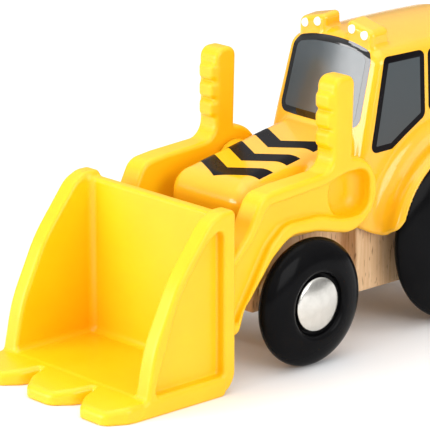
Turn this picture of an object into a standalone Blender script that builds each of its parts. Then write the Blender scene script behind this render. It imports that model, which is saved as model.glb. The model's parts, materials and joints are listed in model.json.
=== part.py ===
"""Toy front loader: wooden chassis, hollow cab and hood shell, swinging loader, four wheels.

Metres, +X forward, +Y left, +Z up. The wheels stand on Z = 0.
Every length below is written in millimetres from the front axle, and is scaled once, when a mesh
is made. FRAME_X then moves the whole toy forward, which puts its middle at X = 0.
"""

import math

import bmesh
import bpy
from mathutils import Vector

MM = 0.001
GAP = 0.3

# Wheels and axles
FRONT_R, FRONT_W, FRONT_Y = 13.5, 6.8, 19.7
REAR_R, REAR_W, REAR_Y = 19.2, 7.2, 18.2
WHEELBASE = 46.0
AXLE_R = 1.25
BUSH_R, BUSH_FLANGE_R = 2.0, 3.0
CAP_R, CAP_DOME, HUB_DEPTH = 5.8, 1.7, 1.6

# Wooden chassis
NOSE_HALF, BLOCK_HALF = 7.7, 12.3
NOSE_X, SHOULDER_X, BLOCK_REAR_X = 4.6, -21.0, -WHEELBASE - 14.3
CHASSIS_Z, CHASSIS_TOP = 9.0, 26.0
SCREW_X = (-12.0, -WHEELBASE - 11.0)
SCREW_HEAD_R, SCREW_R = 2.9, 1.3

# Body shell
SHELL_Z, SKIRT_Z, WALL = 21.5, 24.3, 1.7
HOOD_HALF, HOOD_NOSE_X, HOOD_SLOPE, HOOD_Z0, HOOD_EDGE = 11.1, 11.3, 0.196, 39.55, 4.5
CAB_HALF, CAB_REAR_X, ROOF_Z = 14.2, -WHEELBASE - 17.6, 60.7
FENDER_R, FENDER_Y, ARCH_R, ARCH_Y = 21.8, 22.5, 20.3, 13.9
BOSS_R, BOSS_END = 5.2, 14.5

# Loader
PIVOT_X, PIVOT_Z = -10.8, 34.1
ARM_IN, ARM_OUT, DISC_R = 14.9, 20.5, 8.0
TRUNNION_R, TRUNNION_END = 3.0, 11.6
HANDLE_REAR, HANDLE_FRONT, HANDLE_TOP = -12.0, -6.2, 59.2
BUMP_Z, BUMP_OUT = (46.3, 50.25, 54.2), 1.0
BUCKET_X, BUCKET_HALF, BUCKET_INNER = 22.8, 22.5, 18.4
BUCKET_H, BACK_H, FLOOR_T, BACK_T, SIDE_RECESS = 38.0, 36.8, 3.5, 2.5, 2.3
LIP_X, TOOTH_L, TOOTH_PITCH = 46.5, 9.6, 16.3

TAIL_X = -WHEELBASE - 49.0
FRAME_X = (WHEELBASE + math.sqrt(FENDER_R**2 - (SHELL_Z - REAR_R) ** 2) - LIP_X - TOOTH_L) / 2


def clear_scene():
    for obj in list(bpy.data.objects):
        bpy.data.objects.remove(obj, do_unlink=True)


def collection(name, hidden=False):
    made = bpy.data.collections.new(name)
    bpy.context.scene.collection.children.link(made)
    made.hide_render = hidden
    return made


def material(name, colour, roughness, metallic=0.0):
    made = bpy.data.materials.new(name)
    made.use_nodes = True
    shader = made.node_tree.nodes["Principled BSDF"]
    shader.inputs["Base Color"].default_value = (*colour, 1.0)
    shader.inputs["Roughness"].default_value = roughness
    shader.inputs["Metallic"].default_value = metallic
    made.diffuse_color = (*colour, 1.0)
    return made


def finish(name, bm, look, origin=(0.0, 0.0, 0.0)):
    """Turns a bmesh in millimetres into a visible object with its origin at the given point."""
    shift = Vector(origin)
    for vert in bm.verts:
        vert.co = (vert.co - shift) * MM
    bmesh.ops.recalc_face_normals(bm, faces=bm.faces)
    mesh = bpy.data.meshes.new(name)
    bm.to_mesh(mesh)
    bm.free()
    obj = bpy.data.objects.new(name, mesh)
    obj.location = (shift + Vector((FRAME_X, 0, 0))) * MM
    if look is None:
        CUTTERS.objects.link(obj)
        obj.hide_render = True
        obj.display_type = "WIRE"
    else:
        obj.data.materials.append(look)
        PARTS.objects.link(obj)
    return obj


def boolean(obj, tool, operation):
    made = obj.modifiers.new(f"{operation.lower()}_{tool.name}", "BOOLEAN")
    made.operation = operation
    made.solver = "EXACT"
    made.object = tool


def cut(obj, *tools):
    for tool in tools:
        boolean(obj, tool, "DIFFERENCE")


def add(obj, *tools):
    for tool in tools:
        boolean(obj, tool, "UNION")


def bevel(obj, width, segments=2, angle=40.0):
    made = obj.modifiers.new("edges", "BEVEL")
    made.width = width * MM
    made.segments = segments
    made.limit_method = "ANGLE"
    made.angle_limit = math.radians(angle)
    made.harden_normals = False


def parent(child, owner):
    child.parent = owner
    child.matrix_parent_inverse = owner.matrix_basis.inverted()


# Outlines ---------------------------------------------------------------------------------


def filleted(corners, steps=5):
    """A closed outline from (u, v, radius) corners, each radius drawn as an arc."""
    points = []
    for i, (u, v, radius) in enumerate(corners):
        here = Vector((u, v))
        back = Vector(corners[i - 1][:2]) - here
        ahead = Vector(corners[(i + 1) % len(corners)][:2]) - here
        half = back.angle(ahead) / 2 if radius else 0.0
        if not radius or half > math.radians(88):
            points.append(here)
            continue
        reach = min(radius / math.tan(half), back.length * 0.49, ahead.length * 0.49)
        start, end = here + back.normalized() * reach, here + ahead.normalized() * reach
        real = reach * math.tan(half)
        centre = here + (back.normalized() + ahead.normalized()).normalized() * real / math.sin(half)
        first = math.atan2(*(start - centre).yx)
        turn = math.atan2(*(end - centre).yx) - first
        turn = (turn + math.pi) % (2 * math.pi) - math.pi
        for k in range(steps + 1):
            angle = first + turn * k / steps
            points.append(centre + real * Vector((math.cos(angle), math.sin(angle))))
    return points


def arc(centre, radius, start, end, steps):
    """Plain corners along an arc, in degrees."""
    made = []
    for k in range(steps + 1):
        angle = math.radians(start + (end - start) * k / steps)
        made.append((centre[0] + radius * math.cos(angle), centre[1] + radius * math.sin(angle), 0))
    return made


def prism(outline, low, high, axis="Y"):
    """A straight extrusion of an (x, z) outline along Y, or of an (x, y) outline along Z."""
    bm = bmesh.new()

    def at(point, level):
        return (point[0], level, point[1]) if axis == "Y" else (point[0], point[1], level)

    rings = [[bm.verts.new(at(p, level)) for p in outline] for level in (low, high)]
    count = len(outline)
    for i in range(count):
        j = (i + 1) % count
        bm.faces.new((rings[0][i], rings[0][j], rings[1][j], rings[1][i]))
    bm.faces.new(rings[0])
    bm.faces.new(rings[1])
    return bm


def box(x0, x1, y0, y1, z0, z1):
    return prism([(x0, y0), (x1, y0), (x1, y1), (x0, y1)], z0, z1, "Z")


def turned(profile, centre, segments=48, axis="Y"):
    """A solid of revolution from a closed (radius, along) profile, about Y or Z."""
    bm = bmesh.new()
    rings = []
    for radius, along in profile:
        ring = []
        for k in range(segments if radius > 1e-6 else 1):
            angle = 2 * math.pi * (k + 0.5) / segments
            across = (radius * math.cos(angle), radius * math.sin(angle))
            if axis == "Y":
                point = (centre[0] + across[0], centre[1] + along, centre[2] + across[1])
            else:
                point = (centre[0] + across[0], centre[1] + across[1], centre[2] + along)
            ring.append(bm.verts.new(point))
        rings.append(ring)
    closed = [(rings[i], rings[(i + 1) % len(rings)]) for i in range(len(rings))]
    for one, two in closed:
        if len(one) == len(two) == 1:
            continue
        for k in range(segments):
            m = (k + 1) % segments
            corners = [one[k % len(one)], one[m % len(one)], two[m % len(two)], two[k % len(two)]]
            bm.faces.new(list(dict.fromkeys(corners)))
    return bm


def rod(radius, centre, low, high, segments=32, axis="Y"):
    return turned([(0, low), (radius, low), (radius, high), (0, high)], centre, segments, axis)


def loft(rings):
    """A closed skin through equal rings of points, with flat ends."""
    bm = bmesh.new()
    made = [[bm.verts.new(point) for point in ring] for ring in rings]
    count = len(rings[0])
    for one, two in zip(made, made[1:]):
        for i in range(count):
            j = (i + 1) % count
            bm.faces.new((one[i], one[j], two[j], two[i]))
    bm.faces.new(made[0])
    bm.faces.new(made[-1])
    return bm


# Body shell --------------------------------------------------------------------------------


def hood(inset, low):
    """The hood, its nose rounded in plan and along its top edges, shrunk by the inset."""
    stations = [(-24.0, 0.0), (-10.0, 0.0)]
    for k in range(6):
        angle = math.radians(90 * k / 5)
        x = HOOD_NOSE_X - HOOD_EDGE * (1 - math.sin(angle))
        stations.append((x, HOOD_EDGE * (1 - math.cos(angle))))
    radius = HOOD_EDGE - inset * 0.5
    rings = []
    for x, narrower in stations:
        half = HOOD_HALF - inset - narrower
        top = HOOD_Z0 - HOOD_SLOPE * x - inset - narrower
        shoulder = []
        for k in range(7):
            angle = math.radians(90 * k / 6)
            y = half - radius + radius * math.cos(angle)
            shoulder.append((y, top - radius + radius * math.sin(angle)))
        ring = [(-half, low), (half, low), *shoulder, (0.0, top + 0.5)]
        ring += [(-y, z) for y, z in reversed(shoulder)]
        at = x - inset * (x > 0)
        rings.append([(at, y, z) for y, z in ring])
    return loft(rings)


def roof_rise(x, y):
    """How far the roof arches above its side edges, highest a little behind the middle."""
    return 2.7 * max(0.0, 1 - (y / 13.0) ** 2) - (x + WHEELBASE + 6.0) ** 2 / 830


def cab(inset, low):
    """The cab as stacked rounded rectangles: raked in front, tapering upward to an arched roof."""
    levels = [
        (low, -18.8, CAB_REAR_X, CAB_HALF, 2.2, 0.0),
        (38.0, -20.2, CAB_REAR_X, CAB_HALF, 2.2, 0.0),
        (44.2, -21.7, CAB_REAR_X, CAB_HALF, 2.2, 0.0),
        (ROOF_Z - 2.2, -25.6, CAB_REAR_X + 0.9, CAB_HALF - 0.7, 2.2, 0.2),
        (ROOF_Z - 1.2, -26.1, CAB_REAR_X + 1.3, CAB_HALF - 1.0, 2.4, 0.5),
        (ROOF_Z - 0.4, -26.7, CAB_REAR_X + 2.2, CAB_HALF - 1.9, 2.6, 0.8),
        (ROOF_Z, -28.3, CAB_REAR_X + 4.4, CAB_HALF - 3.6, 2.6, 1.0),
        (ROOF_Z, -33.0, CAB_REAR_X + 10.0, CAB_HALF - 7.5, 2.6, 1.0),
        (ROOF_Z, -38.0, CAB_REAR_X + 16.0, CAB_HALF - 11.0, 2.0, 1.0),
    ]
    rings = []
    for z, front, rear, half, corner, dome in levels:
        front, rear, half = front - inset, rear + inset, half - inset
        ring = []
        centres = ((front, half, 0), (rear, half, 90), (rear, -half, 180), (front, -half, 270))
        for x, y, start in centres:
            cx = x - corner if x == front else x + corner
            cy = y - corner if y > 0 else y + corner
            for k in range(6):
                angle = math.radians(start + 90 * k / 5)
                ring.append((cx + corner * math.cos(angle), cy + corner * math.sin(angle)))
            if start in (0, 180):
                span = (front - corner) - (rear + corner)
                for k in range(1, 5):
                    step = span * k / 5
                    ring.append(((front - corner - step) if start == 0 else (rear + corner + step), y))
        drop = inset if z > low else 0.0
        rings.append([(x, y, z - drop + dome * roof_rise(x, y)) for x, y in ring])
    return loft(rings)


def fender():
    """One drum across both rear wheels; the cab hides its middle."""
    shoulder = 4.2
    profile = [(0, -FENDER_Y)]
    for k in range(6):
        angle = math.radians(90 * k / 5)
        radius = FENDER_R - shoulder + shoulder * math.sin(angle)
        profile.append((radius, -FENDER_Y + shoulder * (1 - math.cos(angle))))
    profile += [(r, -y) for r, y in reversed(profile)]
    return turned(profile, (-WHEELBASE, 0.0, REAR_R), 72)


def skirt_cutter(side):
    """Takes the fender's bottom away in a rising curve towards the outside."""
    points = [(13.0, SHELL_Z - 9.0), (14.3, SHELL_Z), (17.0, SHELL_Z + 0.7)]
    points += [(19.6, SHELL_Z + 1.9), (21.4, SHELL_Z + 3.8), (24.0, SHELL_Z + 8.0), (24.0, SHELL_Z - 9.0)]
    rings = [[(x, side * y, z) for y, z in points] for x in (TAIL_X + 15.0, -18.0)]
    return loft(rings)


def lamp_pod(side):
    """A rounded housing for two lamps on the roof's front edge."""
    low, rings = 59.8, []
    for y, top in ((3.1, 65.5), (7.0, 65.0), (10.9, 64.1)):
        section = [(-26.1, low), (-25.9, top), (-31.6, top - 0.2), (-33.0, low)]
        rings.append([(x, side * y, z) for x, z in section])
    return loft(rings)


def build_shell(look):
    shell = finish("body_shell", hood(0.0, SHELL_Z - 3), look)
    cab_form = finish("form_cab", cab(0.0, SHELL_Z - 4), None)
    drum = finish("form_fenders", fender(), None)
    cut(drum, finish("cut_below_fenders", box(TAIL_X + 5, 0, -40, 40, -20, SHELL_Z - 2), None))
    for side, word in ((1, "left"), (-1, "right")):
        cut(drum, finish(f"cut_skirt_{word}", skirt_cutter(side), None))
    add(shell, cab_form, drum)
    for side, word in ((1, "left"), (-1, "right")):
        pod = finish(f"form_lamp_pod_{word}", lamp_pod(side), None)
        bevel(pod, 1.3, 3)
        add(shell, pod)
    for side, word in ((1, "left"), (-1, "right")):
        ends = sorted((side * ARCH_Y, side * 30))
        arch = rod(ARCH_R, (-WHEELBASE, 0, REAR_R), *ends, 72)
        cut(shell, finish(f"cut_arch_{word}", arch, None))
    base = [(TAIL_X, -25), (TAIL_X, SHELL_Z), (-25.6, SHELL_Z), (-23.0, SHELL_Z + 0.8), (-20.5, SHELL_Z + 2.1)]
    base += [(-16.5, SKIRT_Z), (60, SKIRT_Z), (60, -25)]
    cut(shell, finish("cut_base", prism(base, -45, 45), None))
    cut(shell, finish("cut_hood_inside", hood(WALL, SHELL_Z - 5), None))
    cut(shell, finish("cut_cab_inside", cab(WALL, SHELL_Z - 6), None))
    half = BLOCK_HALF + GAP
    room = box(BLOCK_REAR_X - GAP, SHOULDER_X + GAP, -half, half, SHELL_Z - 6, CHASSIS_TOP + GAP)
    cut(shell, finish("cut_block_room", room, None))
    nose_room = box(-24, HOOD_NOSE_X - 4, -9.2, 9.2, SHELL_Z - 5, SHELL_Z + 8)
    cut(shell, finish("cut_nose_room", nose_room, None))
    low = CHASSIS_TOP + GAP
    tops = (HOOD_Z0 - HOOD_SLOPE * SCREW_X[0] - 1.0, ROOF_Z - 1.0)
    for x, top, word in zip(SCREW_X, tops, ("front", "rear")):
        add(shell, finish(f"form_boss_{word}", rod(3.4, (x, 0, 0), low, top, 24, "Z"), None))
        pilot = rod(SCREW_R + 0.2, (x, 0, 0), low - 1, low + 9, 16, "Z")
        cut(shell, finish(f"cut_boss_{word}", pilot, None))
    for side, word in ((1, "left"), (-1, "right")):
        ends = sorted((side * (HOOD_HALF - 2.4), side * BOSS_END))
        boss = rod(BOSS_R, (PIVOT_X, 0, PIVOT_Z), ends[0], ends[1], 36)
        add(shell, finish(f"form_pivot_{word}", boss, None))
    notch = rod(BUSH_FLANGE_R + 0.6, (-WHEELBASE, 0, REAR_R), -16, 16, 32)
    cut(shell, finish("cut_axle_notch", notch, None))
    bore = rod(TRUNNION_R + 0.25, (PIVOT_X, 0, PIVOT_Z), -30, 30, 32)
    cut(shell, finish("cut_pivot_bore", bore, None))
    return shell


# Loader ------------------------------------------------------------------------------------


def arm_outline():
    """Side view of an arm: bucket joint, elbow, pivot disc and upright grip with finger bumps."""
    corners = [(22.5, 26.2, 0), (22.5, 10.9, 0), (19.9, 10.9, 1.9), (18.3, 15.4, 9), (10.8, 24.6, 9)]
    corners += [(5.6, 28.7, 7), (-2.0, 28.0, 9)]
    corners += arc((PIVOT_X, PIVOT_Z), DISC_R, -82, -265, 18)
    corners += [(HANDLE_REAR, HANDLE_TOP, 1.9), (HANDLE_FRONT, HANDLE_TOP, 1.9)]
    for z in reversed(BUMP_Z):
        corners += [(HANDLE_FRONT, z + 1.75, 0.6), (HANDLE_FRONT + BUMP_OUT, z + 1.0, 0.9)]
        corners += [(HANDLE_FRONT + BUMP_OUT, z - 1.0, 0.9), (HANDLE_FRONT, z - 1.75, 0.6)]
    corners += [(HANDLE_FRONT, 39.9, 1.6), (8.0, 39.1, 8), (13.9, 38.4, 4), (17.6, 31.2, 12)]
    return filleted(corners, 4)


def arm_recess():
    """The sunk web between the arm's rims, rounded off inside the pivot disc."""
    corners = [(21.6, 24.9, 0.8), (21.6, 13.0, 0.8), (20.0, 13.0, 1.2), (16.2, 19.8, 9), (11.4, 27.6, 8)]
    corners += [(7.0, 31.3, 6), (-3.0, 31.2, 12), (-9.0, 29.4, 9), (-16.6, 29.4, 4.5), (-16.6, 38.9, 4.6)]
    corners += [(-10.0, 38.9, 7), (-4.0, 37.3, 9), (4.0, 36.6, 9), (11.9, 36.0, 2.5), (16.0, 29.6, 9)]
    return filleted(corners, 4)


def build_arm(side, word, look):
    ends = sorted((side * ARM_IN, side * ARM_OUT))
    arm = finish(f"loader_arm_{word}", prism(arm_outline(), *ends), look, (PIVOT_X, 0, PIVOT_Z))
    bevel(arm, 0.55, 2, 50)
    trunnion_ends = sorted((side * TRUNNION_END, side * (ARM_IN + 1)))
    trunnion = rod(TRUNNION_R, (PIVOT_X, 0, PIVOT_Z), *trunnion_ends, 32)
    add(arm, finish(f"form_trunnion_{word}", trunnion, None))
    web = sorted((side * (ARM_OUT - 1.9), side * (ARM_OUT + 3)))
    cut(arm, finish(f"cut_web_{word}", prism(arm_recess(), *web), None))
    deep = sorted((side * (ARM_OUT - 4.2), side * (ARM_OUT + 3)))
    cut(arm, finish(f"cut_cup_{word}", prism(cup_outline(), *deep), None))
    return arm


def cup_outline():
    """The deep end of the recess: a little inside its edge, with a round front wall."""
    corners = [(-4.7, 30.6, 3.0), (-4.7, 37.0, 3.0), (-10.2, 38.6, 6), (-16.3, 38.6, 4.4)]
    corners += [(-16.3, 29.7, 4.4), (-9.0, 29.7, 6)]
    return filleted(corners, 5)


def bucket_outline():
    """Side view of the bucket: upright back, flat floor and a cutting edge that sweeps back to the top."""
    corners = [(BUCKET_X, BUCKET_H, 1.2), (BUCKET_X, 0, 4.8), (LIP_X, 0, 0), (LIP_X - 0.2, FLOOR_T, 0)]
    corners += [(44.2, 13.4, 30), (37.9, 26.2, 30), (29.6, 36.6, 6), (26.4, BUCKET_H, 4)]
    return filleted(corners, 5)


def teeth_outline():
    """The floor's plan view: three rounded teeth, the outer two trimmed by the bucket's sides."""
    tip, half_tip = LIP_X + TOOTH_L, 3.6
    corners = [(30.0, -BUCKET_HALF, 0), (LIP_X + 4.4, -BUCKET_HALF, 3)]
    for k in (-1, 0, 1):
        y = k * TOOTH_PITCH
        if k > -1:
            notch = y - TOOTH_PITCH / 2
            corners += [(LIP_X + 5.2, notch - 1.5, 5), (LIP_X + 0.2, notch, 0.5)]
            corners += [(LIP_X + 5.2, notch + 1.5, 5)]
        corners += [(tip, y - half_tip, 2.6), (tip, y + half_tip, 2.6)]
    corners += [(LIP_X + 4.4, BUCKET_HALF, 3), (30.0, BUCKET_HALF, 0)]
    return filleted(corners, 4)


def build_bucket(look):
    body = prism(bucket_outline(), -BUCKET_HALF, BUCKET_HALF)
    bucket = finish("bucket", body, look, (PIVOT_X, 0, PIVOT_Z))
    floor = finish("form_teeth", prism(teeth_outline(), 0.0, FLOOR_T - 0.05, "Z"), None)
    add(bucket, floor)
    back = BUCKET_X + BACK_T
    room = [(BUCKET_X - 1, 60, 0), (BUCKET_X - 1, BACK_H, 0), (back, BACK_H, 0.8), (back, FLOOR_T, 1.0)]
    room = filleted(room + [(80, FLOOR_T, 0), (80, 60, 0)], 4)
    cut(bucket, finish("cut_bucket_inside", prism(room, -BUCKET_INNER, BUCKET_INNER), None))
    panel = [(25.9, 35.2, 1.3), (25.9, 4.1, 0.8), (43.9, 4.1, 0.8), (43.6, 6.0, 4), (37.6, 22.9, 30)]
    panel += [(30.6, 32.2, 8)]
    for side, word in ((1, "left"), (-1, "right")):
        ends = sorted((side * (BUCKET_HALF - SIDE_RECESS), side * (BUCKET_HALF + 3)))
        cut(bucket, finish(f"cut_panel_{word}", prism(filleted(panel, 4), *ends), None))
    return bucket


# Running gear ------------------------------------------------------------------------------


def build_chassis(look):
    plan = [(NOSE_X, NOSE_HALF), (SHOULDER_X, NOSE_HALF)]
    plan += [(SHOULDER_X, BLOCK_HALF), (BLOCK_REAR_X, BLOCK_HALF)]
    plan += [(x, -y) for x, y in reversed(plan)]
    chassis = finish("chassis_block", prism(plan, CHASSIS_Z, CHASSIS_TOP, "Z"), look)
    bevel(chassis, 0.5, 2)
    for x, z, word in ((0.0, FRONT_R, "front"), (-WHEELBASE, REAR_R, "rear")):
        cut(chassis, finish(f"cut_axle_{word}", rod(BUSH_R + 0.2, (x, 0, z), -30, 30, 32), None))
    for x, word in zip(SCREW_X, ("front", "rear")):
        seat, head, shank = CHASSIS_Z + 3.2, SCREW_HEAD_R + 0.4, SCREW_R + 0.4
        profile = [(0, 0), (head, 0), (head, seat), (shank, seat), (shank, 40), (0, 40)]
        cut(chassis, finish(f"cut_screw_{word}", turned(profile, (x, 0, 0), 24, "Z"), None))
    return chassis


def wheel_profile(radius, width, side):
    """(radius, along) from the inner hub face round a lens-shaped rim to the seat of the cap."""
    half, bore, hub = width / 2, AXLE_R + 0.2, CAP_R + 0.8
    reach = radius - hub
    points = [(bore, -half - 0.2), (hub - 1.5, -half - 0.2), (hub - 0.5, 1.4 - half)]
    for k in range(13):
        angle = math.radians(-80 + 160 * k / 12)
        points.append((hub + reach * math.cos(angle), half * math.sin(angle) / math.sin(math.radians(80))))
    points += [(hub, half - HUB_DEPTH), (bore, half - HUB_DEPTH)]
    return [(r, along * side) for r, along in points]


def cap_profile(side):
    """A domed press-on cap with a blind socket for the axle end."""
    socket = AXLE_R + 0.3
    points = [(0.0, 0.9), (socket, 0.9), (socket, 0.0), (CAP_R - 0.3, 0.0), (CAP_R, 0.4)]
    points += [(CAP_R - 0.5, 0.9), (CAP_R * 0.6, CAP_DOME - 0.3)]
    points += [(CAP_R * 0.3, CAP_DOME - 0.05), (0.0, CAP_DOME)]
    return [(r, along * side) for r, along in points]


def build_axle_set(end, x, radius, width, track, block_half, looks):
    z = radius
    hub_out = track + width / 2 - HUB_DEPTH
    axle_half = hub_out + GAP + 0.55
    finish(f"{end}_axle", rod(AXLE_R, (x, 0, z), -axle_half, axle_half, 24), looks["steel"], (x, 0, z))
    for side, word in ((1, "left"), (-1, "right")):
        bore, near, far = AXLE_R + 0.15, block_half + GAP, track - width / 2 - 0.2 - GAP
        profile = [(bore, block_half - 6.0), (BUSH_R, block_half - 6.0), (BUSH_R, near)]
        profile += [(BUSH_FLANGE_R, near), (BUSH_FLANGE_R, far), (bore, far)]
        bush = turned([(r, side * a) for r, a in profile], (x, 0, z), 32)
        finish(f"{end}_bush_{word}", bush, looks["nylon"], (x, side * block_half, z))
        tyre = turned(wheel_profile(radius, width, side), (x, side * track, z), 64)
        finish(f"{end}_wheel_{word}", tyre, looks["tyre"], (x, side * track, z))
        cap = turned(cap_profile(side), (x, side * (hub_out + GAP), z), 48)
        finish(f"{end}_hub_cap_{word}", cap, looks["cap"], (x, side * (hub_out + GAP), z))


def build_screws(look):
    for x, word in zip(SCREW_X, ("front", "rear")):
        profile = [(0.0, 0.0), (0.0, 22.0), (SCREW_R - 0.6, 22.0), (SCREW_R, 20.8), (SCREW_R, 1.7)]
        profile += [(SCREW_HEAD_R, 1.7), (SCREW_HEAD_R, 0.5), (SCREW_HEAD_R - 0.6, 0.0)]
        base = (x, 0, CHASSIS_Z + 3.2 - 1.7 - GAP)
        screw = finish(f"shell_screw_{word}", turned(profile, base, 28, "Z"), look, base)
        for turn, size in ((0, (1.7, 0.35)), (1, (0.35, 1.7))):
            low = base[2] - 1
            slot = box(x - size[0], x + size[0], -size[1], size[1], low, low + 2.0)
            cut(screw, finish(f"cut_drive_{word}_{turn}", slot, None))


clear_scene()
PARTS = collection("toy_front_loader")
CUTTERS = collection("cutters", hidden=True)
LOOKS = {
    "loader": material("loader_yellow_plastic", (0.96, 0.66, 0.01), 0.32),
    "shell": material("shell_orange_yellow_plastic", (0.92, 0.45, 0.03), 0.2),
    "wood": material("beech", (0.66, 0.43, 0.24), 0.6),
    "tyre": material("black_gloss_plastic", (0.008, 0.008, 0.009), 0.18),
    "cap": material("polished_nickel", (0.82, 0.81, 0.79), 0.16, 1.0),
    "steel": material("steel_rod", (0.55, 0.55, 0.56), 0.3, 1.0),
    "nylon": material("natural_nylon", (0.8, 0.78, 0.7), 0.45),
    "screw": material("zinc_steel", (0.62, 0.62, 0.64), 0.35, 1.0),
}
build_chassis(LOOKS["wood"])
build_shell(LOOKS["shell"])
build_axle_set("front", 0.0, FRONT_R, FRONT_W, FRONT_Y, NOSE_HALF, LOOKS)
build_axle_set("rear", -WHEELBASE, REAR_R, REAR_W, REAR_Y, BLOCK_HALF, LOOKS)
build_screws(LOOKS["screw"])
PIVOT = bpy.data.objects.new("loader_pivot", None)
PIVOT.location = Vector((PIVOT_X + FRAME_X, 0, PIVOT_Z)) * MM
PARTS.objects.link(PIVOT)
for piece in (
    build_bucket(LOOKS["loader"]),
    build_arm(1, "left", LOOKS["loader"]),
    build_arm(-1, "right", LOOKS["loader"]),
):
    parent(piece, PIVOT)
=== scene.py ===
"""Toy front loader: the looks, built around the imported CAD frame.

The rounded plastic pieces are drawn as distance fields, in millimetres from the front axle, and
skinned as fine quad meshes whose points and normals lie on the field itself.
"""

import json
import math

import bmesh
import bpy
import numpy as np
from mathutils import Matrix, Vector

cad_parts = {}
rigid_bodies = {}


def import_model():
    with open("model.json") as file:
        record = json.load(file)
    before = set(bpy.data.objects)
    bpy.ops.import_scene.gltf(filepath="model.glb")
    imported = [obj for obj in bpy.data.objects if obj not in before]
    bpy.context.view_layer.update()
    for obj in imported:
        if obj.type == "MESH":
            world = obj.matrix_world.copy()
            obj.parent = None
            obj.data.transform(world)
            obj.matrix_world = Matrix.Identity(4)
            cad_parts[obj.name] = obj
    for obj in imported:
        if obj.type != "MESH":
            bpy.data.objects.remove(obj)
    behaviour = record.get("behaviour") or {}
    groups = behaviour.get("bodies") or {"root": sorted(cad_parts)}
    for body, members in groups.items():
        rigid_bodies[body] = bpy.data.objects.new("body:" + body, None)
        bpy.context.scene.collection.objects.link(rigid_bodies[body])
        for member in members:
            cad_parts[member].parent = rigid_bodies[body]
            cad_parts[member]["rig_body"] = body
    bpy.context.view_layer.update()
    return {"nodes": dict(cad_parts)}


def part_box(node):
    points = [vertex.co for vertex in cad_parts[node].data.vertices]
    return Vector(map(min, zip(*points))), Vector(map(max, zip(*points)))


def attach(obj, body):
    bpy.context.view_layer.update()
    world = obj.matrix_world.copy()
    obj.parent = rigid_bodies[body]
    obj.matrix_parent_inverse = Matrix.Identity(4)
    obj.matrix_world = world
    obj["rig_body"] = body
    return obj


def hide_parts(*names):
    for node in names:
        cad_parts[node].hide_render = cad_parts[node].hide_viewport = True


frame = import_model()

MM = 0.001


def middle(node):
    low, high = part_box(node)
    return (low + high) / 2 / MM


def half_size(node):
    low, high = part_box(node)
    return (high - low) / 2 / MM


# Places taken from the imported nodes, in millimetres
AXLE = middle("front_axle")
ORIGIN = Vector((AXLE.x, 0, 0))
FRONT_R, REAR_R = AXLE.z, middle("rear_axle").z
WHEELBASE = AXLE.x - middle("rear_axle").x
BUCKET_HALF = half_size("bucket").y
CAP_R = half_size("front_hub_cap_left").z
FRONT_W, REAR_W = 6.8, 7.2

# Body shell
SHELL_Z, SKIRT_Z, WALL = 21.5, 24.3, 1.7
HOOD_HALF, HOOD_NOSE_X, HOOD_SLOPE, HOOD_Z0, HOOD_EDGE = 11.1, 11.3, 0.196, 39.55, 4.5
FENDER_R, FENDER_Y, FENDER_EDGE, ARCH_R, ARCH_Y = 21.8, 22.5, 4.2, 20.3, 13.9
BOSS_R, BOSS_END = 5.2, 14.5
BLOCK_HALF, BLOCK_FRONT, BLOCK_REAR, BLOCK_TOP = 12.6, -20.7, -60.6, 26.3
SCREW_X = (-12.0, -57.0)
POST_R, PILOT_R, PILOT_DEPTH, REAR_POST_TOP = 3.4, 1.5, 9.0, 61.0
NOSE_ROOM_HALF, AXLE_ROOM_R, PIVOT_PLAY = 9.2, 3.6, 0.25
POD_LOW, POD_HIGH, POD_EDGE = (-31.4, 3.2, 61.2), (-25.95, 10.95, 65.5), 1.3
CAB_FILLET, FENDER_FILLET, POD_FILLET = 1.2, 4.0, 1.0

# Loader
PIVOT_X, PIVOT_Z, DISC_R = -10.8, 34.1, 8.0
ARM_IN, ARM_OUT = 14.9, 20.5
CUP_X, CUP_R, CUP_DEPTH, WEB_DEPTH = -12.2, 5.7, 4.6, 1.9
TRUNNION_R, TRUNNION_END = 3.0, 11.6
HANDLE_REAR, HANDLE_FRONT, HANDLE_TOP = -12.0, -6.2, 59.2
BUMP_Z = (46.3, 50.25, 54.2)
BUCKET_X, BUCKET_INNER, BUCKET_H, BACK_H = 22.8, 18.4, 38.0, 36.8
FLOOR_T, BACK_T, SIDE_RECESS = 3.5, 2.5, 2.3
LIP_X, TOOTH_L, TOOTH_PITCH = 46.5, 9.1, 16.3


# Distance fields ---------------------------------------------------------------------------


def meet(a, b, r):
    """Both shapes at once, the edge where they meet rounded to radius r."""
    return np.minimum(-r, np.maximum(a, b)) + np.hypot(np.maximum(r + a, 0), np.maximum(r + b, 0))


def join(a, b, r):
    """Either shape, with a fillet of radius r in the corner between them."""
    return -meet(-a, -b, r)


def rounded(gaps, r):
    """The distance to a box corner with radius r, from the gaps to its faces."""
    inner = [gap + r for gap in gaps]
    outside = np.sqrt(sum(np.maximum(gap, 0) ** 2 for gap in inner))
    deepest = inner[0]
    for gap in inner[1:]:
        deepest = np.maximum(deepest, gap)
    return outside + np.minimum(deepest, 0) - r


def block(p, low, high, r):
    """A rounded box between two corners."""
    gaps = [np.maximum(a - v, v - b) for v, a, b in zip(p, low, high)]
    return rounded(gaps, r)


def rod(u, v, along, radius, low, high, r):
    return meet(np.hypot(u, v) - radius, np.maximum(low - along, along - high), r)


def curve(knots, blur):
    """A function through (at, value) knots, its corners eased over a length of blur."""
    at, value = zip(*knots)
    fine = np.arange(at[0] - blur, at[-1] + blur, 0.1)
    width = int(blur / 0.1)
    eased = np.convolve(np.interp(fine, at, value), np.ones(width) / width, "same")
    fine, eased = fine[width:-width], eased[width:-width]
    return lambda where: np.interp(where, fine, eased)


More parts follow.
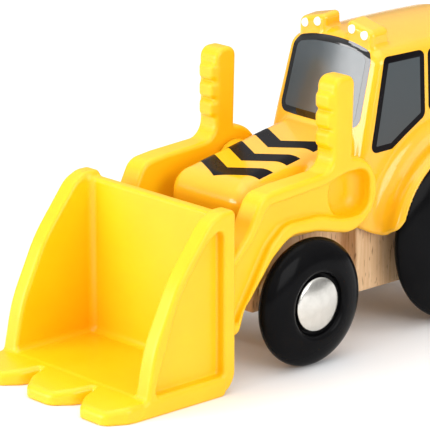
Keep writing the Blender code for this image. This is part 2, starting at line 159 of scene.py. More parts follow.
def filleted(corners, steps=8):
    """A closed outline from (u, v, radius) corners, each radius drawn as an arc."""
    points = []
    for i, (u, v, radius) in enumerate(corners):
        here = Vector((u, v))
        back = Vector(corners[i - 1][:2]) - here
        ahead = Vector(corners[(i + 1) % len(corners)][:2]) - here
        half = back.angle(ahead) / 2 if radius else 0.0
        if not radius or half > math.radians(88):
            points.append(here)
            continue
        reach = min(radius / math.tan(half), back.length * 0.49, ahead.length * 0.49)
        start, end = here + back.normalized() * reach, here + ahead.normalized() * reach
        real = reach * math.tan(half)
        centre = here + (back.normalized() + ahead.normalized()).normalized() * real / math.sin(half)
        first = math.atan2(*(start - centre).yx)
        turn = math.atan2(*(end - centre).yx) - first
        turn = (turn + math.pi) % (2 * math.pi) - math.pi
        for k in range(steps + 1):
            angle = first + turn * k / steps
            points.append(centre + real * Vector((math.cos(angle), math.sin(angle))))
    return points


def arc(centre, radius, start, end, steps):
    """Plain corners along an arc, in degrees."""
    made = []
    for k in range(steps + 1):
        angle = math.radians(start + (end - start) * k / steps)
        made.append((centre[0] + radius * math.cos(angle), centre[1] + radius * math.sin(angle), 0))
    return made


def outline_field(outline, cell=0.12, margin=5.0):
    """The signed distance to a closed outline, as a function that reads it from a fine table."""
    points = np.array([tuple(p) for p in outline], float)
    low, high = points.min(0) - margin, points.max(0) + margin
    across = [np.arange(a, b, cell) for a, b in zip(low, high)]
    u, v = np.meshgrid(*across, indexing="ij")
    nearest, inside = np.full(u.shape, 1e9), np.zeros(u.shape, bool)
    for (au, av), (bu, bv) in zip(points, np.roll(points, -1, 0)):
        du, dv = bu - au, bv - av
        length = du * du + dv * dv
        if length < 1e-12:
            continue
        t = np.clip(((u - au) * du + (v - av) * dv) / length, 0, 1)
        nearest = np.minimum(nearest, (u - au - du * t) ** 2 + (v - av - dv * t) ** 2)
        if av != bv:
            inside ^= ((av > v) != (bv > v)) & (u < du * (v - av) / dv + au)
    table = np.sqrt(nearest) * np.where(inside, -1, 1)

    def read(at_u, at_v):
        i = np.clip((at_u - low[0]) / cell, 0, table.shape[0] - 1.001)
        j = np.clip((at_v - low[1]) / cell, 0, table.shape[1] - 1.001)
        i0, j0 = i.astype(int), j.astype(int)
        fi, fj = i - i0, j - j0
        near = table[i0, j0] * (1 - fj) + table[i0, j0 + 1] * fj
        far = table[i0 + 1, j0] * (1 - fj) + table[i0 + 1, j0 + 1] * fj
        return near * (1 - fi) + far * fi

    return read


def gradient(field, p, step=0.03):
    made = []
    for axis in range(3):
        shift = np.zeros(3)
        shift[axis] = step
        made.append(field(*(p + shift).T) - field(*(p - shift).T))
    made = np.stack(made, 1) / (2 * step)
    return made / np.maximum(np.linalg.norm(made, axis=1, keepdims=True), 1e-9)


def skin(field, low, high, pitch):
    """Points, quads and normals on field = 0: one point for each grid cell that the surface crosses."""
    low = np.array(low, float)
    blocks = np.ceil((np.array(high) - low) / (4 * pitch)).astype(int) + 1
    centres = [low[i] + pitch * (4 * np.arange(blocks[i]) + 1.5) for i in range(3)]
    value = field(*np.meshgrid(*centres, indexing="ij"))
    for axis in range(3):
        value = np.repeat(value, 4, axis)
    near = np.abs(value) < 6 * pitch + 1.0
    spots = np.stack(np.nonzero(near), 1)
    value[near] = field(*(low + pitch * spots).T)
    cells = np.array(value.shape)
    total, count, faces = np.zeros((cells.prod(), 3)), np.zeros(cells.prod()), []
    for axis in range(3):
        first = [slice(None)] * 3
        second = [slice(None)] * 3
        first[axis], second[axis] = slice(None, -1), slice(1, None)
        a, b = value[tuple(first)], value[tuple(second)]
        edges = np.stack(np.nonzero((a < 0) != (b < 0)), 1)
        edges = edges[(edges > 0).all(1)]
        a, b = a[tuple(edges.T)], b[tuple(edges.T)]
        crossing = edges.astype(float)
        crossing[:, axis] += a / (a - b)
        round_edge = []
        for up, over in ((1, 1), (0, 1), (0, 0), (1, 0)):
            cell = edges.copy()
            cell[:, (axis + 1) % 3] -= up
            cell[:, (axis + 2) % 3] -= over
            index = np.ravel_multi_index(tuple(cell.T), tuple(cells))
            count += np.bincount(index, minlength=len(count))
            for k in range(3):
                total[:, k] += np.bincount(index, crossing[:, k], len(count))
            round_edge.append(index)
        quads = np.stack(round_edge, 1)
        faces.append(np.where((a < 0)[:, None], quads, quads[:, ::-1]))
    used = np.nonzero(count)[0]
    number = np.full(len(count), -1)
    number[used] = np.arange(len(used))
    faces = number[np.concatenate(faces)]
    points = low + pitch * total[used] / count[used][:, None]
    ends = np.concatenate([faces[:, [i, (i + 1) % 4]] for i in range(4)])
    ends = np.concatenate([ends, ends[:, ::-1]])
    meetings = np.maximum(np.bincount(ends[:, 0], minlength=len(points)), 1)
    for turn in range(3):
        if turn:
            pulled = [np.bincount(ends[:, 0], points[ends[:, 1], k], len(points)) for k in range(3)]
            points = points * 0.5 + np.stack(pulled, 1) / meetings[:, None] * 0.5
        for _ in range(2):
            miss = np.clip(field(*points.T), -pitch, pitch)
            points = points - gradient(field, points) * miss[:, None]
    return points, faces, gradient(field, points)


def place(name, body, slot, replaced, look, obj):
    obj.name = name
    obj.data.name = name
    obj.data.materials.clear()
    obj.data.materials.append(look)
    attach(obj, body)
    if replaced:
        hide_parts(*replaced)


def mesh_object(points, faces, normals=None):
    """An object in the row frame from points in millimetres from the front axle."""
    mesh = bpy.data.meshes.new("made")
    world = (np.asarray(points) + np.array(ORIGIN)) * MM
    mesh.vertices.add(len(world))
    mesh.vertices.foreach_set("co", world.astype(np.float32).ravel())
    mesh.loops.add(faces.size)
    mesh.loops.foreach_set("vertex_index", faces.astype(np.int32).ravel())
    mesh.polygons.add(len(faces))
    size = faces.shape[1]
    mesh.polygons.foreach_set("loop_start", np.arange(0, faces.size, size, dtype=np.int32))
    mesh.update(calc_edges=True)
    mesh.validate()
    mesh.shade_smooth()
    if normals is not None:
        mesh.normals_split_custom_set_from_vertices(normals.astype(np.float32))
    obj = bpy.data.objects.new("made", mesh)
    bpy.context.scene.collection.objects.link(obj)
    return obj


# Body shell --------------------------------------------------------------------------------

CAB_FRONT = curve([(10, -18.6), (38, -20.2), (44.2, -21.7), (59, -25.7), (70, -28.7)], 3.0)
CAB_SIDE = curve([(10, 14.5), (40, 14.4), (45, 14.2), (59, 13.5), (70, 13.0)], 3.0)
CAB_REAR = curve([(10, -63.6), (44.2, -63.6), (59, -62.6), (70, -61.9)], 3.0)
BASE = curve(
    [(-95, SHELL_Z), (-25.6, SHELL_Z), (-23, 22.3), (-20.5, 23.6), (-16.5, SKIRT_Z), (60, SKIRT_Z)], 1.0
)
SKIRT = curve(
    [(10, 0), (13, SHELL_Z - 9), (14.3, SHELL_Z), (17, 22.2), (19.6, 23.4), (21.4, 25.3), (24, 29.5)], 0.8
)
CAB_BULGE, CAB_FLAT_AT = 1 / 180, 11.5
ROOF_Z, ROOF_TOP_X, ROOF_ACROSS, ROOF_ALONG = 63.4, -52, 57, 830


def hood_field(x, side, z):
    top = (z - HOOD_Z0 + HOOD_SLOPE * x) * math.cos(math.atan(HOOD_SLOPE))
    walls = meet(x - HOOD_NOSE_X, side - HOOD_HALF, 3.4)
    return np.maximum(meet(walls, top, HOOD_EDGE), -30 - x)


def cab_field(x, side, z):
    front = (x - CAB_FRONT(z) + (side**2 - CAB_FLAT_AT**2) * CAB_BULGE) * 0.97
    rear = (CAB_REAR(z) - x) * 0.99
    roof = ROOF_Z - side**2 / ROOF_ACROSS - (x - ROOF_TOP_X) ** 2 / ROOF_ALONG
    top = meet((z - roof) * 0.96, rear, 4.5)
    return meet(meet(front, side - CAB_SIDE(z), 1.8), top, 1.9)


def fender_field(x, side, z):
    around = np.hypot(x + WHEELBASE, z - REAR_R)
    drum = rounded([around - FENDER_R, side - FENDER_Y], FENDER_EDGE)
    return meet(drum, SKIRT(side) - z, 1.2)


def pod_field(x, side, z):
    """A lamp pod, its top falling outward and forward."""
    level = z + 0.22 * (side - 4) + 0.11 * (x + 26)
    return block((x, side, level), POD_LOW, POD_HIGH, POD_EDGE)


def outer_field(x, y, z):
    side = np.abs(y)
    body = join(hood_field(x, side, z), cab_field(x, side, z), CAB_FILLET)
    body = join(body, fender_field(x, side, z), FENDER_FILLET)
    return join(body, pod_field(x, side, z), POD_FILLET)


def shell_field(x, y, z):
    side = np.abs(y)
    hood, cab = hood_field(x, side, z), cab_field(x, side, z)
    boss = rod(x - PIVOT_X, z - PIVOT_Z, side, BOSS_R, 8.5, BOSS_END, 0.4)
    shell = join(outer_field(x, y, z), boss, 0.7)
    shell = meet(shell, -np.minimum(hood, cab) - WALL, 0.4)
    for screw_x in SCREW_X:
        post_top = HOOD_Z0 + 0.6 if screw_x > BLOCK_FRONT else REAR_POST_TOP
        post = rod(x - screw_x, y, z, POST_R, BLOCK_TOP, post_top, 0.3)
        post = meet(post, -rod(x - screw_x, y, z, PILOT_R, 10, BLOCK_TOP + PILOT_DEPTH, 0.2), 0.2)
        shell = join(shell, post, 0.5)
    around = np.hypot(x + WHEELBASE, z - REAR_R)
    shell = meet(shell, -np.maximum(around - ARCH_R, ARCH_Y - side), 0.6)
    shell = meet(shell, -np.maximum(around - AXLE_ROOM_R, side - 16), 0.4)
    for low, high in (
        ((BLOCK_REAR, -BLOCK_HALF, 0), (BLOCK_FRONT, BLOCK_HALF, BLOCK_TOP)),
        ((-24, -NOSE_ROOM_HALF, 0), (HOOD_NOSE_X - 4, NOSE_ROOM_HALF, SHELL_Z + 8)),
    ):
        shell = meet(shell, -block((x, y, z), low, high, 0.2), 0.3)
    shell = meet(shell, TRUNNION_R + PIVOT_PLAY - np.hypot(x - PIVOT_X, z - PIVOT_Z), 0.3)
    return meet(shell, (BASE(x) - z) * 0.95, 0.6)


# Loader ------------------------------------------------------------------------------------


def arm_outline():
    """Side view of an arm: bucket joint, elbow, pivot disc and upright grip."""
    corners = [(22.5, 26.2, 0), (22.5, 10.9, 0), (19.9, 10.9, 1.9), (18.3, 15.4, 9), (10.8, 24.6, 9)]
    corners += [(5.6, 28.7, 7), (-2.0, 28.0, 9)]
    corners += arc((PIVOT_X, PIVOT_Z), DISC_R, -82, -265, 32)
    corners += [(HANDLE_REAR, HANDLE_TOP, 2.0), (HANDLE_FRONT, HANDLE_TOP, 2.4)]
    corners += [(HANDLE_FRONT, 39.9, 3.6), (8.0, 39.1, 8), (13.9, 38.4, 4), (17.6, 31.2, 12)]
    return filleted(corners)


def arm_recess():
    """The sunk web between the arm's rims, rounded off inside the pivot disc."""
    corners = [(21.0, 24.9, 0.8), (21.0, 13.4, 0.6), (20.2, 13.4, 0.6), (16.2, 19.8, 9), (11.4, 27.6, 8)]
    corners += [(7.0, 31.3, 6), (-3.0, 31.2, 12), (-9.0, 29.4, 9), (-16.6, 29.4, 4.5), (-16.6, 38.9, 4.6)]
    corners += [(-10.0, 38.9, 7), (-4.0, 37.3, 9), (4.0, 36.6, 9), (11.9, 36.0, 2.5), (16.0, 29.6, 9)]
    return filleted(corners)


ARM_SIDE = outline_field(arm_outline())
ARM_WEB = outline_field(arm_recess())


def arm_field(x, y, z):
    """The left arm, from its inner face to the rims of its outer face."""
    arm = meet(ARM_SIDE(x, z), np.maximum(ARM_IN - y, y - ARM_OUT), 1.0)
    for at in BUMP_Z:
        low = (HANDLE_FRONT - 3, ARM_IN + 0.3, at - 1.8)
        pad = block((x, y, z), low, (HANDLE_FRONT + 0.95, ARM_OUT - 0.7, at + 1.75), 1.0)
        arm = join(arm, pad, 0.5)
    arm = meet(arm, -meet(ARM_WEB(x, z), ARM_OUT - WEB_DEPTH - y, 0.8), 0.8)
    wall = np.hypot(np.maximum(x - CUP_X, 0), z - PIVOT_Z) - CUP_R
    cup = meet(meet(ARM_WEB(x, z), wall, 1.0), ARM_OUT - CUP_DEPTH - y, 2.6)
    arm = meet(arm, -cup, 0.35)
    stub = rod(x - PIVOT_X, z - PIVOT_Z, y, TRUNNION_R, TRUNNION_END, ARM_IN + 1, 0.35)
    return join(arm, stub, 0.2)


def bucket_outline():
    corners = [(BUCKET_X, BUCKET_H, 1.2), (BUCKET_X, 0, 4.8), (LIP_X + 3, 0, 0), (LIP_X - 0.2, FLOOR_T, 0)]
    corners += [(44.2, 13.4, 30), (37.9, 26.2, 30), (29.6, 36.6, 6), (26.4, BUCKET_H, 4)]
    return filleted(corners)


def teeth_outline():
    """The floor's plan view: three rounded teeth, the outer two trimmed by the bucket's sides."""
    tip, half_tip = LIP_X + TOOTH_L, 3.6
    corners = [(26.0, -BUCKET_HALF, 0), (LIP_X + 4.4, -BUCKET_HALF, 3)]
    for k in (-1, 0, 1):
        y = k * TOOTH_PITCH
        if k > -1:
            notch = y - TOOTH_PITCH / 2
            corners += [(LIP_X + 5.2, notch - 1.5, 5), (LIP_X + 0.2, notch, 0.5)]
            corners += [(LIP_X + 5.2, notch + 1.5, 5)]
        corners += [(tip, y - half_tip, 2.8), (tip, y + half_tip, 2.8)]
    corners += [(LIP_X + 4.4, BUCKET_HALF, 3), (26.0, BUCKET_HALF, 0)]
    return filleted(corners)


def panel_outline():
    corners = [(25.9, 35.2, 1.3), (25.9, 4.1, 0.8), (43.9, 4.1, 0.8), (43.6, 6.0, 4), (37.6, 22.9, 30)]
    corners += [(30.6, 32.2, 8)]
    return filleted(corners)


BUCKET_SIDE = outline_field(bucket_outline())
BUCKET_TEETH = outline_field(teeth_outline())
BUCKET_PANEL = outline_field(panel_outline())


def bucket_field(x, y, z):
    side = np.abs(y)
    body = meet(BUCKET_SIDE(x, z), side - BUCKET_HALF, 0.9)
    taper = FLOOR_T - np.clip((x - LIP_X) / TOOTH_L, 0, 1) ** 2 * 0.9
    teeth = meet(meet(BUCKET_TEETH(x, y), z - taper, 1.2), -z, 0.4)
    room = rounded([BUCKET_X + BACK_T - x, FLOOR_T - z, side - BUCKET_INNER], 1.6)
    body = meet(body, -room, 0.9)
    body = meet(body, -meet(BACK_H - z, side - BUCKET_INNER, 0.8), 0.8)
    body = join(body, teeth, 0.6)
    panel = meet(BUCKET_PANEL(x, z), BUCKET_HALF - SIDE_RECESS - side, 0.5)
    return meet(body, -panel, 0.8)


# Lathe work --------------------------------------------------------------------------------


def smooth_profile(points, steps=6):
    """A Catmull-Rom curve through (radius, along) points."""
    made = []
    for i in range(len(points) - 1):
        p0, p1 = points[max(i - 1, 0)], points[i]
        p2, p3 = points[i + 1], points[min(i + 2, len(points) - 1)]
        for k in range(steps):
            t = k / steps
            point = []
            for a, b, c, d in zip(p0, p1, p2, p3):
                bend, twist = 2 * a - 5 * b + 4 * c - d, 3 * b - a - 3 * c + d
                point.append(0.5 * (2 * b + (c - a) * t + bend * t**2 + twist * t**3))
            made.append(tuple(point))
    return made + [points[-1]]


def lathe(profile, centre, side, closed, segments=128):
    """Turns (radius, along) points about Y. A closed profile is a ring; an open one ends on the axis."""
    if closed:
        profile = profile + [profile[0]]
    ring = np.arange(segments) * 2 * math.pi / segments
    radius = np.array([p[0] for p in profile])
    along = np.array([p[1] for p in profile]) * side
    rows = len(profile) - closed
    points = np.stack(
        [
            centre[0] + np.outer(radius[:rows], np.cos(ring)),
            centre[1] + np.outer(along[:rows], np.ones(segments)),
            centre[2] + np.outer(radius[:rows], np.sin(ring)),
        ],
        -1,
    ).reshape(-1, 3)
    faces = []
    for i in range(len(profile) - 1):
        here, there = i, (i + 1) % rows
        for k in range(segments):
            m = (k + 1) % segments
            quad = [here * segments + k, here * segments + m, there * segments + m, there * segments + k]
            faces.append(quad)
    obj = mesh_object(points, np.array(faces))
    bm = bmesh.new()
    bm.from_mesh(obj.data)
    bmesh.ops.remove_doubles(bm, verts=bm.verts, dist=1e-7)
    bmesh.ops.recalc_face_normals(bm, faces=bm.faces)
    bm.to_mesh(obj.data)
    bm.free()
    obj.data.shade_smooth()
    return obj


def wheel_profile(radius, width):
    """Round the wheel from its inner hub face, over a lens-shaped rim, to the sunk seat of its cap."""
    half, bore, hub = width / 2, 1.45, CAP_R + 0.8
    reach = radius - hub
    inside = [(bore, -half - 0.2), (hub - 1.5, -half - 0.2), (hub - 0.6, 1.4 - half)]
    rim = []
    for k in range(49):
        angle = math.radians(-80 + 160 * k / 48)
        rim.append((hub + reach * math.cos(angle), half * math.sin(angle) / math.sin(math.radians(80))))
    lip = [(hub + 0.75, half - 0.08), (hub + 0.35, half - 0.3), (hub + 0.08, half - 0.7), (hub, half - 1.2)]
    lip += [(hub - 0.25, half - 1.5), (hub - 0.7, half - 1.6)]
    return inside + rim + smooth_profile(lip) + [(bore, half - 1.6)]


def cap_profile():
    """A domed press-on cap with a blind socket for the axle's end."""
    inside = [(0.0, 0.9), (1.55, 0.9), (1.55, 0.0), (CAP_R - 0.35, 0.0)]
    dome = [(1.0, -0.25, 0.05), (1.0, 0.0, 0.3), (1.0, -0.12, 0.6), (0.9, 0.0, 0.86), (0.68, 0.0, 1.22)]
    dome += [(0.44, 0.0, 1.5), (0.2, 0.0, 1.66), (0.0, 0.0, 1.7)]
    return inside + smooth_profile([(CAP_R * share + extra, along) for share, extra, along in dome])


# Prints on the shell -----------------------------------------------------------------------

PRINT_T, STRIPE_HALF = 0.2, 9.2
INK_LIFT, PANE_LIFT, LAMP_LIFT = 0.04, 0.075, 0.12
PANE_INSET, LAMP_HALF_WIDTH, LAMP_HALF_HEIGHT = 1.35, 1.0, 0.92


def decal(outline, to_space, towards, lift, cell=0.5):
    """A thin printed patch: a flat outline, cut into cells and laid on the shell along a direction."""
    bm = bmesh.new()
    bm.faces.new([bm.verts.new((p[0], p[1], 0)) for p in outline])
    for axis in range(2):
        values = [p[axis] for p in outline]
        normal = Vector((axis == 0, axis == 1, 0))
        at = min(values) + cell
        while at < max(values) - 0.2:
            everything = bm.verts[:] + bm.edges[:] + bm.faces[:]
            bmesh.ops.bisect_plane(bm, geom=everything, plane_co=normal * at, plane_no=normal, dist=1e-5)
            at += cell
    bmesh.ops.triangulate(bm, faces=[f for f in bm.faces if len(f.verts) > 4])
    flat = np.array([tuple(v.co) for v in bm.verts])
    towards = np.array(towards, float) / np.linalg.norm(towards)
    points = to_space(flat[:, 0], flat[:, 1])
    for _ in range(60):
        points = points + towards * (outer_field(*points.T) - lift)[:, None] * 0.9
    for vert, point in zip(bm.verts, points):
        vert.co = Vector(point) + ORIGIN
    bmesh.ops.recalc_face_normals(bm, faces=bm.faces)
    if sum(f.normal.dot(Vector(towards)) for f in bm.faces) > 0:
        bmesh.ops.reverse_faces(bm, faces=bm.faces)
    sunk = bmesh.ops.extrude_face_region(bm, geom=bm.faces[:], use_keep_orig=True)["geom"]
    sunk = [part for part in sunk if isinstance(part, bmesh.types.BMVert)]
    bmesh.ops.translate(bm, verts=sunk, vec=Vector(towards) * PRINT_T)
    bmesh.ops.recalc_face_normals(bm, faces=bm.faces)
    bmesh.ops.scale(bm, vec=(MM, MM, MM), verts=bm.verts)
    for edge in bm.edges:
        edge.smooth = edge.calc_face_angle(0) < 0.7
    mesh = bpy.data.meshes.new("decal")
    for face in bm.faces:
        face.smooth = True
    bm.to_mesh(mesh)
    bm.free()
    obj = bpy.data.objects.new("decal", mesh)
    bpy.context.scene.collection.objects.link(obj)
    return obj


def on_hood(u, v):
    return np.stack([u, v, np.full(len(u), 60.0)], 1)


def on_front(u, v):
    """u runs across to +Y, v upward; laid back onto the cab's front."""
    return np.stack([np.full(len(u), -5.0), u, v], 1)


def on_rear(u, v):
    return np.stack([np.full(len(u), -80.0), u, v], 1)


def on_side(side):
    return lambda u, v: np.stack([u, np.full(len(u), side * 30.0), v], 1)


def grown(outline, by):
    """The outline moved outward, or inward where by is negative."""
    points = [Vector(p[:2]) for p in outline]
    area = sum(a.x * b.y - b.x * a.y for a, b in zip(points, points[1:] + points[:1]))
    sign = 1 if area > 0 else -1
    made = []
    for i, here in enumerate(points):
        along = (points[(i + 1) % len(points)] - points[i - 1]).normalized()
        made.append(here + Vector((along.y, -along.x)) * by * sign)
    return made


def chevron(apex, thick):
    """An arrow stripe across the hood, pointing forward, its ends cut along the toy."""
    back, reach = 0.455 * STRIPE_HALF, STRIPE_HALF
    rear = apex - thick
    corners = [(apex, 0), (apex - back, reach), (rear - back, reach), (rear, 0)]
    corners += [(rear - back, -reach), (apex - back, -reach)]
    return [Vector(c) for c in corners]


def windshield_outline():
    corners = [(-12.0, 44.3, 2.2), (11.7, 44.3, 2.2), (11.35, 60.0, 3.2)]
    corners += [(6.0, 61.3, 20), (0.0, 61.7, 40), (-6.0, 61.3, 20), (-11.6, 60.0, 3.2)]
    return filleted(corners)


def front_window_outline():
    corners = [(-22.6, 39.3, 1.5), (-27.3, 59.0, 1.6), (-39.0, 59.0, 1.4), (-39.0, 44.9, 1.8)]
    corners += [(-33.0, 41.7, 12), (-29.0, 39.4, 1.4)]
    return filleted(corners)


def rear_window_outline():
    corners = [(-40.1, 45.3, 1.4), (-40.1, 58.9, 1.2), (-56.6, 58.5, 2.0)]
    corners += [(-58.4, 44.2, 1.8), (-49.0, 46.6, 30)]
    return filleted(corners)


def back_window_outline():
    return filleted([(-10.4, 46.0, 2.0), (10.4, 46.0, 2.0), (9.8, 58.0, 2.4), (-9.8, 58.0, 2.4)])


# Materials ---------------------------------------------------------------------------------


class Nodes:
    """Short forms for building a node material."""

    def __init__(self, name, roughness, **sockets):
        self.material = bpy.data.materials.new(name)
        self.material.use_nodes = True
        self.tree = self.material.node_tree
        self.shader = self.tree.nodes["Principled BSDF"]
        for socket, value in {"Roughness": roughness, **sockets}.items():
            self.shader.inputs[socket.replace("_", " ")].default_value = value
        self.place = self.make("ShaderNodeTexCoord").outputs["Object"]

    def make(self, kind, inputs=None, **settings):
        node = self.tree.nodes.new(kind)
        for name, value in settings.items():
            setattr(node, name, value)
        for name, value in (inputs or {}).items():
            if isinstance(value, bpy.types.NodeSocket):
                self.tree.links.new(value, node.inputs[name])
            else:
                node.inputs[name].default_value = value
        return node

    def stretched(self, x, y, z):
        return self.make("ShaderNodeMapping", {"Vector": self.place, "Scale": (x, y, z)}).outputs["Vector"]

    def noise(self, scale, detail=3.0, vector=None, rough=0.5, distortion=0.0):
        inputs = {
            "Vector": vector or self.place,
            "Scale": scale,
            "Detail": detail,
            "Roughness": rough,
            "Distortion": distortion,
        }
        return self.make("ShaderNodeTexNoise", inputs).outputs["Fac"]

    def spread(self, value, low, high, out_low, out_high):
        node = self.make(
            "ShaderNodeMapRange",
            {"Value": value, "From Min": low, "From Max": high, "To Min": out_low, "To Max": out_high},
        )
        return node.outputs["Result"]

    def mix(self, share, one, two):
        node = self.tree.nodes.new("ShaderNodeMix")
        node.data_type = "RGBA"
        for socket, value in (("Factor_Float", share), ("A_Color", one), ("B_Color", two)):
            found = next(s for s in node.inputs if s.identifier == socket)
            if isinstance(value, bpy.types.NodeSocket):
                self.tree.links.new(value, found)
            else:
                found.default_value = value if socket == "Factor_Float" else (*value, 1.0)
        return next(s for s in node.outputs if s.identifier == "Result_Color")

    def into(self, socket, value):
        self.tree.links.new(value, self.shader.inputs[socket])

    def bump(self, height, distance, strength=1.0):
        inputs = {"Height": height, "Strength": strength, "Distance": distance * MM}
        node = self.make("ShaderNodeBump", inputs)
        self.into("Normal", node.outputs["Normal"])


def linear(r, g, b):
    """Screen colour, 0 to 255, as the renderer's linear light."""
    return tuple(c / 255 / 12.92 if c <= 10.3 else ((c / 255 + 0.055) / 1.055) ** 2.4 for c in (r, g, b))


def plastic(name, colour, deeper, rough_low, rough_high, grain, **sockets):
    """Moulded plastic: a faint cloud of flow colour, uneven gloss and a fine moulded texture."""
    made = Nodes(name, rough_low, **sockets)
    cloud = made.noise(70, 4, rough=0.55)
    made.into("Base Color", made.mix(made.spread(cloud, 0.35, 0.68, 0, 1), colour, deeper))
    smear = made.noise(1, 5, made.stretched(160, 160, 420), 0.6)
    made.into("Roughness", made.spread(smear, 0.3, 0.7, rough_low, rough_high))
    made.bump(made.noise(2600, 2, rough=0.6), grain)
    return made.material


def beech():
    """Upright grain with short dark rays, and broad bands of warmer wood."""
    made = Nodes("beech_wood", 0.55, Specular_IOR_Level=0.35)
    fibre = made.noise(1, 6, made.stretched(1500, 1500, 70), 0.65, 0.15)
    band = made.noise(1, 3, made.stretched(190, 190, 22), 0.5, 0.4)
    fleck = made.noise(1, 2, made.stretched(2300, 2300, 330), 0.4)
    wood = made.mix(made.spread(fibre, 0.34, 0.66, 0, 1), linear(240, 208, 168), linear(214, 172, 126))
    wood = made.mix(made.spread(band, 0.38, 0.66, 0, 0.55), wood, linear(220, 176, 130))
    dash = made.spread(fleck, 0.63, 0.70, 0, 0.75)
    wood = made.mix(dash, wood, linear(140, 92, 56))
    made.into("Base Color", wood)
    made.into("Roughness", made.spread(fibre, 0.3, 0.7, 0.5, 0.68))
    made.bump(fibre, 0.05, 0.7)
    return made.material


def metal(name, colour, darker, rough_low, rough_high, ripple):
    made = Nodes(name, rough_low, Metallic=1.0)
    cloud = made.noise(420, 4, rough=0.6)
    made.into("Base Color", made.mix(made.spread(cloud, 0.35, 0.7, 0, 1), colour, darker))
    made.into("Roughness", made.spread(made.noise(900, 4, rough=0.7), 0.3, 0.7, rough_low, rough_high))
    made.bump(made.noise(ripple[0], 3, rough=0.5), ripple[1])
    return made.material


def window_ink(name, upper, lower, gloss):
    """Grey printed glass, its shade drifting from foot to top."""
    made = Nodes(name, 0.2, Coat_Weight=gloss, Coat_Roughness=0.2, Specular_IOR_Level=gloss)
    height = made.make("ShaderNodeSeparateXYZ", {"Vector": made.place}).outputs["Z"]
    shade = made.mix(made.spread(height, 0.040, 0.060, 0, 1), lower, upper)
    shade = made.mix(made.spread(made.noise(90, 3), 0.35, 0.7, 0, 0.35), shade, lower)
    made.into("Base Color", shade)
    made.into("Roughness", made.spread(made.noise(500, 3), 0.3, 0.7, 0.16, 0.24))
    made.bump(made.noise(3200, 2), 0.002)
    return made.material


LOOKS = {
    "loader": plastic(
        "loader_yellow", linear(253, 196, 5), linear(252, 191, 3), 0.34, 0.42, 0.004,
        Subsurface_Weight=0.12, Subsurface_Scale=1.2 * MM,
    ),
    "shell": plastic(
        "shell_orange_yellow", linear(250, 187, 30), linear(249, 182, 24), 0.15, 0.21, 0.002,
        Subsurface_Weight=0.08, Subsurface_Scale=1.0 * MM, Coat_Weight=0.3, Coat_Roughness=0.08,
    ),
    "tyre": plastic(
        "tyre_black", (0.004, 0.004, 0.0045), (0.006, 0.006, 0.0065), 0.12, 0.2, 0.002,
        Specular_IOR_Level=0.05,
    ),
    "ink": plastic(
        "black_ink", (0.005, 0.004, 0.005), (0.007, 0.006, 0.007), 0.2, 0.3, 0.002,
        Specular_IOR_Level=0.06,
    ),
    "glossy_ink": plastic(
        "glossy_black_ink", (0.004, 0.004, 0.005), (0.006, 0.006, 0.006), 0.06, 0.1, 0.001,
        Coat_Weight=0.8, Coat_Roughness=0.06,
    ),
    "lamp": plastic("white_ink", (0.88, 0.88, 0.88), (0.84, 0.84, 0.85), 0.25, 0.32, 0.002),
    "nylon": plastic("nylon_bush", linear(226, 220, 204), linear(216, 208, 190), 0.4, 0.5, 0.004),
    "wood": beech(),
    "window": window_ink("window_ink", linear(60, 69, 73), linear(63, 67, 69), 0.2),
    "windshield": window_ink("windshield_ink", linear(62, 72, 78), linear(66, 70, 72), 0.6),
    "cap": metal("nickel_cap", (0.74, 0.72, 0.67), (0.64, 0.62, 0.57), 0.16, 0.26, (700, 0.012)),
    "steel": metal("axle_steel", (0.56, 0.56, 0.57), (0.46, 0.46, 0.47), 0.25, 0.38, (1800, 0.004)),
    "zinc": metal("screw_zinc", (0.64, 0.64, 0.62), (0.52, 0.52, 0.53), 0.3, 0.45, (1500, 0.006)),
}


# Build -------------------------------------------------------------------------------------

FINE = 0.42


def moulded(name, body, slot, nodes, look, field, low, high):
    place(name, body, slot, nodes, LOOKS[look], mesh_object(*skin(field, low, high, FINE)))


moulded(
    "shell_moulding", "chassis", "shell_plastic", ["body_shell"], "shell", shell_field,
    (-71, -25, 19), (13.5, 25, 68),
)
moulded(
    "bucket_moulding", "loader", "loader_plastic", ["bucket"], "loader", bucket_field,
    (20.5, -25, -2.5), (59.5, 25, 41),
)
LEFT_ARM = skin(arm_field, (-21, 9.5, 8.5), (25, 23, 61.5), FINE)
for side, word in ((1, "left"), (-1, "right")):
    points, faces, normals = LEFT_ARM
    flip = np.array([1, side, 1])
    arm = mesh_object(points * flip, faces[:, ::side], normals * flip)
    place(f"arm_moulding_{word}", "loader", "loader_plastic", [f"loader_arm_{word}"], LOOKS["loader"], arm)

for end, radius, width, along in (("front", FRONT_R, FRONT_W, 0.0), ("rear", REAR_R, REAR_W, -WHEELBASE)):
    for side, word in ((1, "left"), (-1, "right")):
        wheel = f"{end}_wheel_{word}"
        turned = lathe(wheel_profile(radius, width), (along, 0, radius), side, True)
        low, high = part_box(wheel)
        outer = side * (high.y if side > 0 else low.y) / MM
        turned.location.y = side * (outer - width / 2) * MM
        place(f"{end}_tyre_{word}", f"wheel_{end}_{word}", "wheel_plastic", [wheel], LOOKS["tyre"], turned)
        cap = f"{end}_hub_cap_{word}"
        low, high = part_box(cap)
        seat = low.y if side > 0 else high.y
        domed = lathe(cap_profile(), (along, 0, radius), side, False)
        domed.location.y = seat
        place(f"{end}_cap_{word}", frame["nodes"][cap]["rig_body"], "cap_metal", [cap], LOOKS["cap"], domed)

for apex, thick, word in ((8.35, 3.85, "front"), (0.6, 3.8, "middle"), (-6.95, 3.65, "rear")):
    print_patch = decal(chevron(apex, thick), on_hood, (0, 0, -1), INK_LIFT)
    place(f"chevron_{word}", "chassis", "shell_plastic", [], LOOKS["ink"], print_patch)

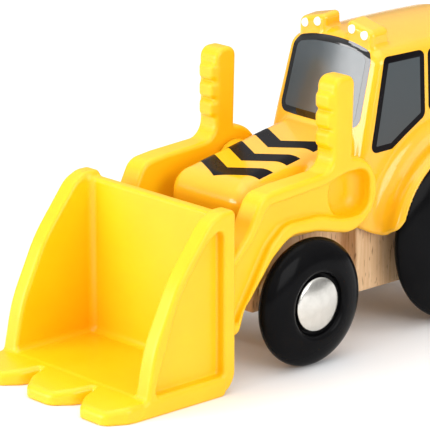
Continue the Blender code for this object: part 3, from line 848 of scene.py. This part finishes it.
WINDOWS = [
    ("windshield", windshield_outline(), on_front, (-1, 0, 0)),
    ("back_window", back_window_outline(), on_rear, (1, 0, 0)),
]
for side, word in ((1, "left"), (-1, "right")):
    WINDOWS.append((f"door_window_{word}", front_window_outline(), on_side(side), (0, -side, 0)))
    WINDOWS.append((f"side_window_{word}", rear_window_outline(), on_side(side), (0, -side, 0)))
for name, outline, to_space, towards in WINDOWS:
    border = decal(outline, to_space, towards, INK_LIFT)
    border_look = "glossy_ink" if name == "windshield" else "ink"
    place(f"{name}_border", "chassis", "shell_plastic", [], LOOKS[border_look], border)
    pane = decal(grown(outline, -PANE_INSET), to_space, towards, PANE_LIFT)
    pane_look = name if name in LOOKS else "window"
    place(f"{name}_pane", "chassis", "shell_plastic", [], LOOKS[pane_look], pane)

for side, word in ((1, "left"), (-1, "right")):
    for y, z, which in ((5.1, 63.9, "inner"), (8.8, 63.1, "outer")):
        circle = arc((0, 0), 1.0, 0, 345, 23)
        lamp = [(side * y + a * LAMP_HALF_WIDTH, z + b * LAMP_HALF_HEIGHT) for a, b, _ in circle]
        disc = decal(lamp, on_front, (-1, 0, 0), LAMP_LIFT)
        place(f"lamp_{which}_{word}", "chassis", "shell_plastic", [], LOOKS["lamp"], disc)

CAD_LOOKS = {"chassis_block": "wood", "axle": "steel", "bush": "nylon", "screw": "zinc"}
for node, obj in frame["nodes"].items():
    look = next((look for word, look in CAD_LOOKS.items() if word in node), None)
    if look:
        obj.data.materials.clear()
        obj.data.materials.append(LOOKS[look])


# Stage -------------------------------------------------------------------------------------


def floor():
    mesh = bpy.data.meshes.new("floor")
    half = 6.0
    corners = [(-half, -half, 0), (half, -half, 0), (half, half, 0), (-half, half, 0)]
    mesh.from_pydata(corners, [], [(0, 1, 2, 3)])
    made = Nodes("floor_paper", 0.75, Specular_IOR_Level=0.2)
    paper = made.mix(made.noise(9, 3), (0.90, 0.90, 0.905), (0.88, 0.88, 0.885))
    made.into("Base Color", paper)
    mesh.materials.append(made.material)
    obj = bpy.data.objects.new("floor", mesh)
    bpy.context.scene.collection.objects.link(obj)


def panel_light(name, place, aim, size, power):
    data = bpy.data.lights.new(name, "AREA")
    data.shape = "RECTANGLE"
    data.size, data.size_y = size
    data.energy = power
    obj = bpy.data.objects.new(name, data)
    obj.location = place
    obj.rotation_euler = (Vector(aim) - Vector(place)).to_track_quat("-Z", "Y").to_euler()
    bpy.context.scene.collection.objects.link(obj)


floor()
world = bpy.data.worlds.new("studio")
world.use_nodes = True
sky = world.node_tree
direction = sky.nodes.new("ShaderNodeTexCoord").outputs["Generated"]
height = sky.nodes.new("ShaderNodeSeparateXYZ")
sky.links.new(direction, height.inputs[0])
glow = sky.nodes.new("ShaderNodeMapRange")
for socket, value in (("From Min", 0.1), ("From Max", 0.75), ("To Min", 0.3), ("To Max", 1.05)):
    glow.inputs[socket].default_value = value
sky.links.new(height.outputs["Z"], glow.inputs["Value"])
sky.links.new(glow.outputs["Result"], sky.nodes["Background"].inputs["Strength"])
sky.nodes["Background"].inputs["Color"].default_value = (1.0, 1.0, 1.0, 1)
bpy.context.scene.world = world
panel_light("top_panel", (0.05, 0.0, 0.95), (0, 0, 0), (1.0, 1.0), 3.6)
panel_light("front_panel", (0.606, -0.174, 0.17), (0, 0, 0.05), (0.62, 0.22), 2.9)
panel_light("side_panel", (0.02, 0.75, 0.32), (0, 0, 0.03), (0.5, 0.4), 2.6)
bpy.context.scene.view_settings.view_transform = "Standard"

CAMERA_AIM = (ORIGIN + Vector((1.84, -6.63, 26.58))) * MM
CAMERA_PLACE = (ORIGIN + Vector((423.96, 453.5, 207.3))) * MM
CAMERA_LENS, CAMERA_SENSOR = 261.4, 36
camera = bpy.data.cameras.new("camera")
camera.lens, camera.sensor_width = CAMERA_LENS, CAMERA_SENSOR
camera.clip_start, camera.clip_end = 0.01, 30
camera_object = bpy.data.objects.new("camera", camera)
camera_object.location = CAMERA_PLACE
camera_object.rotation_euler = (CAMERA_AIM - CAMERA_PLACE).to_track_quat("-Z", "Y").to_euler()
bpy.context.scene.collection.objects.link(camera_object)
bpy.context.scene.camera = camera_object
